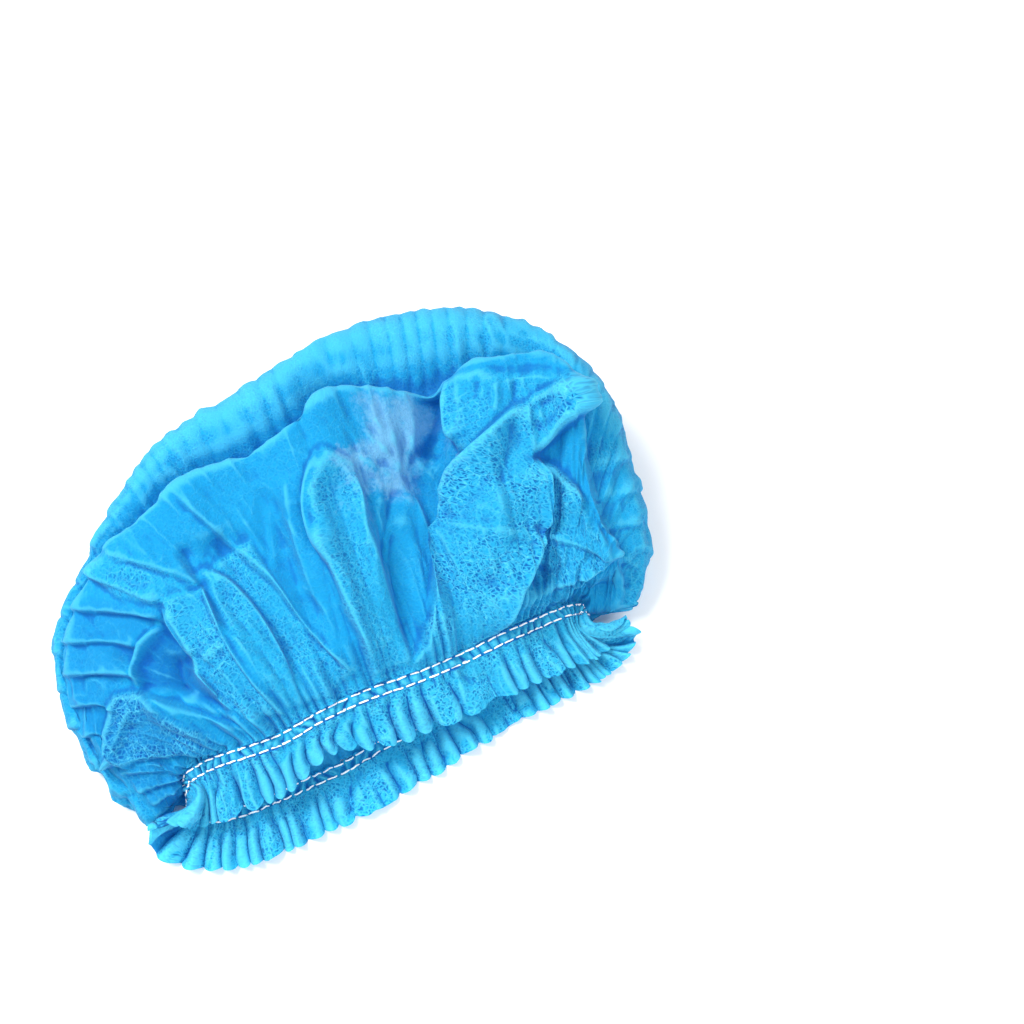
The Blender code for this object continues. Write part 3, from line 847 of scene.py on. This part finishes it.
def buildStrip(start, width, rows, wave):
    upper, lower, _ = rims(sec, opening)
    square = squareWays(sec, opening)
    fanned = fannedWays(sec, opening, 1.0)
    base = ring(upper, lower) + np.array(form["home"])
    points = base + square * start
    made = []
    reached = 0.0
    for across in np.linspace(0.0, 1.0, rows):
        fan = np.interp(across, [0.0, 0.12, 0.5, 1.0], [0.0, 0.0, 0.7, 1.0]) * (1.0 if wave is frillWave else 0.0)
        way = unit(mix(square, fanned, fan))
        points = points + way * (across - reached) * width
        reached = across
        tangent = unit(np.roll(points, -1, axis=0) - np.roll(points, 1, axis=0))
        normal = unit(np.cross(way, tangent))
        lift, slide, draw = wave(across)
        made.append(points + normal * lift[:, None] + tangent * slide[:, None] + way * draw[:, None])
    grid = np.stack(made, axis=1)
    grid[..., 2] = np.maximum(grid[..., 2], 0.0004)
    return grid


ringAcross = np.concatenate([np.linspace(0.0, form["clothWidth"], crown["columns"]),
                             np.linspace(form["clothWidth"], 0.0, crown["columns"])[1:-1]])
ringUpper = np.arange(len(ringAcross)) < crown["columns"]
ringOpening = ring(opening, opening)
ringTurn = np.where(ringUpper, 1.0, -1.0)  # which way the flat cloth runs round the ring
upperRim, lowerRim, _ = rims(sec, opening)
ringPhoto = inPhoto(ring(upperRim, lowerRim) + np.array(form["home"]))[:, 0]


def seamGather():  # the crown's own gathers at the rim, carried through the band
    zero = np.zeros_like(ringAcross)
    top = gatherHeight(ringAcross, zero, crown["seed"])
    bottom = -0.7 * gatherHeight(ringAcross, zero, crown["seed"] + 40)
    return np.where(ringUpper, top, bottom) * np.sqrt(ringOpening)


def bandWave(across):
    flattened = 1.0 - sum(0.65 * np.exp(-((across - share) / 0.12) ** 2) for share in band["seams"])
    drift = 0.5 * noise(ringAcross / 0.02, np.full_like(ringAcross, across), band["seed"])
    puff = band["ripple"] * pleatWave(ringAcross / band["pleat"] + drift)
    lift = (seamGather() * 0.45 + puff) * flattened
    return lift, 0.0 * lift, 0.0 * lift


def frillWave(across):
    place = np.full_like(ringAcross, across)
    seed = frill["seed"]
    half = np.where(ringUpper, 0.0, 50.0)
    drift = 1.3 * noise(ringAcross / 0.06, half, seed) + 0.35 * noise(ringAcross / 0.02, place * 1.3 + half, seed + 1)
    phase = ringAcross / frill["flute"] + drift
    size = 0.75 + 0.35 * noise(ringAcross / 0.017, place + half, seed + 2)
    grow = 0.25 + 0.75 * smooth(0.0, 0.7, place)
    fold = 0.7 * np.sin(2.0 * math.pi * phase) + 0.3 * pleatWave(phase + 0.25, 0.5)
    fold += 0.35 * noise(ringAcross / 0.0042, place * 0.8 + half, seed + 7)
    lift = frill["rise"] * size * grow * fold * ringTurn
    lift += (1.0 - smooth(0.0, 0.3, place)) * seamGather() * 0.4
    lift += 0.0008 * creases(ringAcross / 0.008, place * 2.0 + half, seed + 3) * grow
    lift += 0.0015 * noise(ringAcross / 0.045, place + half, seed + 6) * smooth(0.2, 1.0, place)
    slide = frill["sway"] * noise(ringAcross / 0.02, place * 1.5 + half, seed + 4) * smooth(0.1, 1.0, place)
    slide -= frill["bulge"] * np.cos(2.0 * math.pi * phase) * grow * ringTurn
    draw = frill["scallop"] * fold * smooth(0.6, 1.0, place)
    draw += frill["scallop"] * 0.5 * noise(ringAcross / 0.013, half, seed + 5) * smooth(0.4, 1.0, place)
    curl = ringUpper * np.exp(-((ringPhoto - frill["curlAt"]) / frill["curlReach"]) ** 2) * across
    draw -= frill["curlBy"] * curl
    lift += 0.002 * curl
    ends = np.minimum(1.0, 0.35 + ringOpening)
    return lift * ends, slide, draw


textureLength = 3.0 * form["mouthWidth"]  # of the fibre web, along the gathered strips


def stripPiece(name, grid, width, web):
    columns, rows = grid.shape[:2]
    across = np.linspace(0.0, textureLength, columns)
    spots = np.stack(np.meshgrid(across, np.linspace(0.0, width, rows), indexing="ij"), axis=-1)
    plain = np.ones(grid.shape[:2])
    paint = {"spots": spots, "web": web * plain, "paintedShade": 0.0 * plain, "side": -ringTurn[:, None]}
    return sheetFromGrid(name, grid, True, paint=paint)


bandGrid = buildStrip(-0.0002, band["width"], band["rows"], bandWave)
bandPiece = stripPiece("bandCloth", bandGrid, band["width"], band["web"])
frillGrid = buildStrip(frill["start"] - 0.0003, frill["width"], frill["rows"], frillWave)
frillPiece = stripPiece("frillCloth", frillGrid, frill["width"], frill["web"])
print("band and frill:", len(bandPiece.data.vertices), len(frillPiece.data.vertices), "points")


# stitches: two rows of white dashes round the band, on both faces of the cloth
stitch = {
    "pitch": 0.0062,
    "dash": 0.0051,
    "radius": 0.00043,
    "above": 0.00045,
    "sides": 7,
    "seed": 71,
}


def alongLine(at, length, values):
    return np.array([np.interp(at, length, values[:, k]) for k in range(3)])


def buildStitches():
    rng = np.random.default_rng(stitch["seed"])
    points = []
    faces = []
    sides = stitch["sides"]
    angles = np.linspace(0.0, 2.0 * math.pi, sides, endpoint=False)
    caps = ((-0.5, 0.35), (-0.46, 0.85), (-0.2, 1.0), (0.2, 1.0), (0.46, 0.85), (0.5, 0.35))
    for share in band["seams"]:
        place = share * (band["rows"] - 1)
        line = throughRows(bandGrid.transpose(1, 0, 2), np.array([place]))[0]
        inward = throughRows(bandGrid.transpose(1, 0, 2), np.array([min(place + 1.0, band["rows"] - 1.0)]))[0]
        closed = np.concatenate([line, line[:1]])
        steps = np.linalg.norm(np.diff(closed, axis=0), axis=1)
        length = np.concatenate(([0.0], np.cumsum(steps)))
        across = np.concatenate([inward, inward[:1]]) - closed
        count = int(length[-1] / stitch["pitch"])
        for number in range(count):
            centre = (number + 0.5 + rng.uniform(-0.08, 0.08)) * length[-1] / count
            dash = stitch["dash"] * rng.uniform(0.86, 1.08)
            skew = rng.uniform(-0.00022, 0.00022)
            for face in (1.0, -1.0):
                base = len(points)
                for along, size in caps:
                    at = (centre + along * dash) % length[-1]
                    ahead = (at + 0.0004) % length[-1]
                    spot = alongLine(at, length, closed)
                    after = alongLine(ahead, length, closed)
                    side = alongLine(at, length, across)
                    forward = unit(after - spot)
                    outward = unit(np.cross(side, forward)) * face
                    lift = stitch["above"] * (1.15 - 1.6 * abs(along) ** 2)
                    spot = spot + outward * lift + unit(side) * (skew * along * 2.0)
                    sideways = unit(np.cross(forward, outward))
                    for angle in angles:
                        spoke = outward * math.cos(angle) * 0.8 + sideways * math.sin(angle)
                        points.append(spot + spoke * stitch["radius"] * size)
                rings = len(caps)
                for row in range(rings - 1):
                    for k in range(sides):
                        a = base + row * sides + k
                        b = base + row * sides + (k + 1) % sides
                        faces.append((a, b, b + sides, a + sides))
                faces.append(tuple(base + k for k in reversed(range(sides))))
                faces.append(tuple(base + (rings - 1) * sides + k for k in range(sides)))
    points = np.array(points)
    points[:, 2] = np.maximum(points[:, 2], 0.0003)
    mesh = bpy.data.meshes.new("stitches")
    mesh.from_pydata(points.tolist(), [], faces)
    mesh.shade_smooth()
    piece = bpy.data.objects.new("stitches", mesh)
    bpy.context.scene.collection.objects.link(piece)
    return piece


stitchPiece = buildStitches()
print("stitches:", len(stitchPiece.data.polygons), "faces")


# materials
clothLook = {
    "colour": (0.005, 0.345, 0.680, 1.0),         # one layer
    "doubledColour": (0.014, 0.415, 0.715, 1.0),  # where the cloth lies double
    # painted shade for hollows and regions that lie in shade
    "paintedShadeColour": (0.0005, 0.090, 0.380, 1.0),
    # the web's thin spots, darkened as painted shade seen through them
    "holeShadeColour": (0.0005, 0.070, 0.320, 1.0),
    # the web's pale fibres, also used as the painted highlight on ridges
    "fibreAndHighlightColour": (0.110, 0.710, 0.930, 1.0),
    "thinColour": (0.200, 0.520, 0.780, 1.0),
    # painted shade in the crease valleys; the ridges get a painted highlight in the fibre colour
    "creaseShadeColour": (0.0003, 0.070, 0.400, 1.0),
    "glowColour": (0.008, 0.365, 0.690, 1.0),     # of the light that comes through
    "creaseShadeShare": 0.60,
    "ridgeHighlightShare": 0.44,
    "holeShadeShare": 0.95,
    "fibreShare": 0.85,
    "thinSpots": (((0.0437, 0.0330, 0.066), 0.030, 0.85), ((0.0144, 0.0240, 0.064), 0.016, 0.6),
                  ((0.0594, 0.0090, 0.064), 0.012, 0.5), ((-0.0585, 0.1040, 0.030), 0.022, 0.3)),
    "roughness": 0.75,
    "through": 0.34,
    "holeScale": 520.0,
    "fibreScale": 620.0,
    "wideScale": 230.0,
    "bendScale": 520.0,     # the web's fibres are bent by this noise
    "bendBy": 0.0020,
    "cloudScale": 45.0,     # and fade in and out by this one
    "bump": 0.4,
    "bumpDepth": 0.0004,
    "sheen": 0.08,
    "shine": 0.15,
}

stripLitLook = {  # what differs in the band and the frill: lighter colours, painted light that lifts them out of shade, and stronger painted crease shade and ridge highlights
    "colour": (0.008, 0.380, 0.690, 1.0),
    "doubledColour": (0.022, 0.455, 0.740, 1.0),
    "glowColour": (0.018, 0.425, 0.720, 1.0),
    "creaseShadeShare": 0.82,
    "ridgeHighlightShare": 0.58,
}

threadLook = {
    "colour": (0.95, 0.98, 1.0, 1.0),
    "roughness": 0.6,
    "twistScale": 2500.0,
    "bump": 0.5,
    "bumpDepth": 0.0002,
}


def outputNode(material):
    material.use_nodes = True
    tree = material.node_tree
    tree.nodes.clear()
    return tree


def clothMaterial(name, look, thinPatch=False):
    material = bpy.data.materials.new(name)
    tree = outputNode(material)
    shade = Shade(tree)
    place = shade.node("ShaderNodeTexCoord", {}, {}, "Object")
    weave = shade.node("ShaderNodeTexCoord", {}, {}, "UV")
    crease = shade.node("ShaderNodeAttribute", {"attribute_name": "crease"}, {}, "Fac")
    web = shade.node("ShaderNodeAttribute", {"attribute_name": "web"}, {}, "Fac")
    paintedShade = shade.node("ShaderNodeAttribute", {"attribute_name": "paintedShade"}, {}, "Fac")
    flat = {"noise_dimensions": "2D"}
    cells = {"feature": "DISTANCE_TO_EDGE", "voronoi_dimensions": "2D"}
    bend = shade.node("ShaderNodeTexNoise", flat, {
        "Vector": weave, "Scale": look["bendScale"], "Detail": 1.0}, "Color")
    bent = shade.node("ShaderNodeVectorMath", {"operation": "MULTIPLY_ADD"},
                      {0: bend, 1: (look["bendBy"], look["bendBy"], 0.0), 2: weave})
    fine = shade.node("ShaderNodeTexVoronoi", cells, {"Vector": bent, "Scale": look["fibreScale"]}, "Distance")
    wide = shade.node("ShaderNodeTexVoronoi", cells, {"Vector": bent, "Scale": look["wideScale"]}, "Distance")
    grain = shade.node("ShaderNodeTexNoise", flat, {"Vector": bent, "Scale": look["holeScale"], "Detail": 1.0}, 0)
    cloud = shade.node("ShaderNodeTexNoise", flat, {"Vector": weave, "Scale": look["cloudScale"], "Detail": 2.0}, 0)
    fibre = fine.ramp(0.02, 0.17, 1.0, 0.0)
    wideFibre = wide.ramp(0.005, 0.075, 1.0, 0.0)
    strength = web * cloud.ramp(0.34, 0.62, 0.45, 1.0)
    # the web's thin spots, painted darker as the shade seen through them
    holes = fine.ramp(0.09, 0.30) * grain.ramp(0.34, 0.54) * strength * look["holeShadeShare"]
    lines = (fibre * 0.40 + wideFibre * 0.70) * strength * look["fibreShare"]
    colour = web.ramp(0.15, 0.85).mixColour(look["colour"], look["doubledColour"])
    for spot, reach, share in look["thinSpots"] if thinPatch else ():
        apart = shade.node("ShaderNodeVectorMath", {"operation": "DISTANCE"}, {0: place, 1: spot}, "Value")
        edge = apart + (cloud - 0.5) * 0.05 + (grain - 0.5) * 0.012
        colour = edge.ramp(reach * 0.35, reach, share, 0.0).mixColour(colour, look["thinColour"])
    # painted shade: the scoop, the flap and the lower left darken toward a deep blue where the cloth lies in shade
    colour = paintedShade.mixColour(colour, look["paintedShadeColour"])
    colour = holes.mixColour(colour, look["holeShadeColour"])
    colour = lines.mixColour(colour, look["fibreAndHighlightColour"])
    # painted shade: the crease valleys darken toward a deep blue; painted highlight: the ridges lighten toward the
    # pale fibre colour
    colour = crease.ramp(0.15, 0.95, 0.0, look["creaseShadeShare"]).mixColour(colour, look["creaseShadeColour"])
    colour = crease.ramp(-0.95, -0.20, look["ridgeHighlightShare"], 0.0).mixColour(colour, look["fibreAndHighlightColour"])
    relief = fibre * 0.4 + wideFibre * 0.7 - grain * 0.8
    bump = shade.node("ShaderNodeBump", {}, {
        "Strength": look["bump"], "Distance": look["bumpDepth"], "Height": relief})
    surface = shade.node("ShaderNodeBsdfPrincipled", {}, {
        "Base Color": colour, "Roughness": look["roughness"], "Normal": bump,
        "Sheen Weight": look["sheen"], "Sheen Roughness": 0.5, "Specular IOR Level": look["shine"]})
    glow = shade.node("ShaderNodeBsdfTranslucent", {}, {"Color": look["glowColour"], "Normal": bump})
    both = shade.node("ShaderNodeMixShader", {}, {0: look["through"], 1: surface, 2: glow})
    shade.node("ShaderNodeOutputMaterial", {}, {"Surface": both})
    return material


def threadMaterial():
    material = bpy.data.materials.new("whiteThread")
    shade = Shade(outputNode(material))
    place = shade.node("ShaderNodeTexCoord", {}, {}, "Object")
    twist = shade.node("ShaderNodeTexNoise", {}, {
        "Vector": place, "Scale": threadLook["twistScale"], "Detail": 2.0}, 0)
    bump = shade.node("ShaderNodeBump", {}, {
        "Strength": threadLook["bump"], "Distance": threadLook["bumpDepth"], "Height": twist})
    surface = shade.node("ShaderNodeBsdfPrincipled", {}, {
        "Base Color": threadLook["colour"], "Roughness": threadLook["roughness"], "Normal": bump})
    shade.node("ShaderNodeOutputMaterial", {}, {"Surface": surface})
    return material


clothPaint = clothMaterial("blueCloth", clothLook, thinPatch=True)
# the same cloth for the band and frill, with lighter colours as painted light
stripPaint = clothMaterial("blueClothGatheredLit", {**clothLook, **stripLitLook})
crownPiece.data.materials.append(clothPaint)
bandPiece.data.materials.append(stripPaint)
frillPiece.data.materials.append(stripPaint)
stitchPiece.data.materials.append(threadMaterial())
print("materials made")


# floor, light and camera
stage = {
    "floorColour": (0.93, 0.93, 0.93, 1.0),
    "floorReach": 6.0,
    "worldColour": (1.0, 1.0, 1.0, 1.0),
    "worldStrength": 0.66,
    "keyLampPower": 33.0,
    "keyLampSize": 0.8,
    "keyLampPlace": (-0.60, 0.55, 1.35),
    "sideLampPower": 13.0,
    "sideLampSize": 0.8,
    "sideLampPlace": (0.3, -1.1, 1.1),
}


def buildStage():
    mesh = bpy.data.meshes.new("floor")
    reach = stage["floorReach"]
    corners = [(-reach, -reach, 0), (reach, -reach, 0), (reach, reach, 0), (-reach, reach, 0)]
    mesh.from_pydata(corners, [], [(0, 1, 2, 3)])
    floor = bpy.data.objects.new("floor", mesh)
    bpy.context.scene.collection.objects.link(floor)
    paint = bpy.data.materials.new("paleFloor")
    shade = Shade(outputNode(paint))
    surface = shade.node("ShaderNodeBsdfPrincipled", {}, {"Base Color": stage["floorColour"], "Roughness": 0.9})
    shade.node("ShaderNodeOutputMaterial", {}, {"Surface": surface})
    mesh.materials.append(paint)
    world = bpy.data.worlds.new("studio")
    world.use_nodes = True
    background = world.node_tree.nodes["Background"]
    background.inputs["Color"].default_value = stage["worldColour"]
    background.inputs["Strength"].default_value = stage["worldStrength"]
    bpy.context.scene.world = world
    for name in ("keyLamp", "sideLamp"):
        data = bpy.data.lights.new(name, "AREA")
        data.energy = stage[name + "Power"]
        data.size = stage[name + "Size"]
        lamp = bpy.data.objects.new(name, data)
        lamp.location = stage[name + "Place"]
        lamp.rotation_mode = "QUATERNION"
        lamp.rotation_quaternion = lamp.location.to_track_quat("Z", "Y")
        bpy.context.scene.collection.objects.link(lamp)
    _, _, back = photoAxes()
    data = bpy.data.cameras.new("camera")
    data.sensor_width = photo["sensor"]
    data.lens = photo["focal"] / photo["frame"] * photo["sensor"]
    camera = bpy.data.objects.new("camera", data)
    camera.location = np.array(photo["aim"]) + back * photo["distance"]
    camera.rotation_mode = "QUATERNION"
    camera.rotation_quaternion = Vector(back).to_track_quat("Z", "Y")
    bpy.context.scene.collection.objects.link(camera)
    bpy.context.scene.camera = camera
    bpy.context.scene.view_settings.view_transform = "Standard"
    return floor


floor = buildStage()
print("floor, light and camera made")


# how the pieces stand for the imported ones
for piece, node in ((crownPiece, "crown"), (bandPiece, "elastic_band"), (frillPiece, "frill")):
    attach(piece, "root")
    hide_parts(node)
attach(stitchPiece, "root")
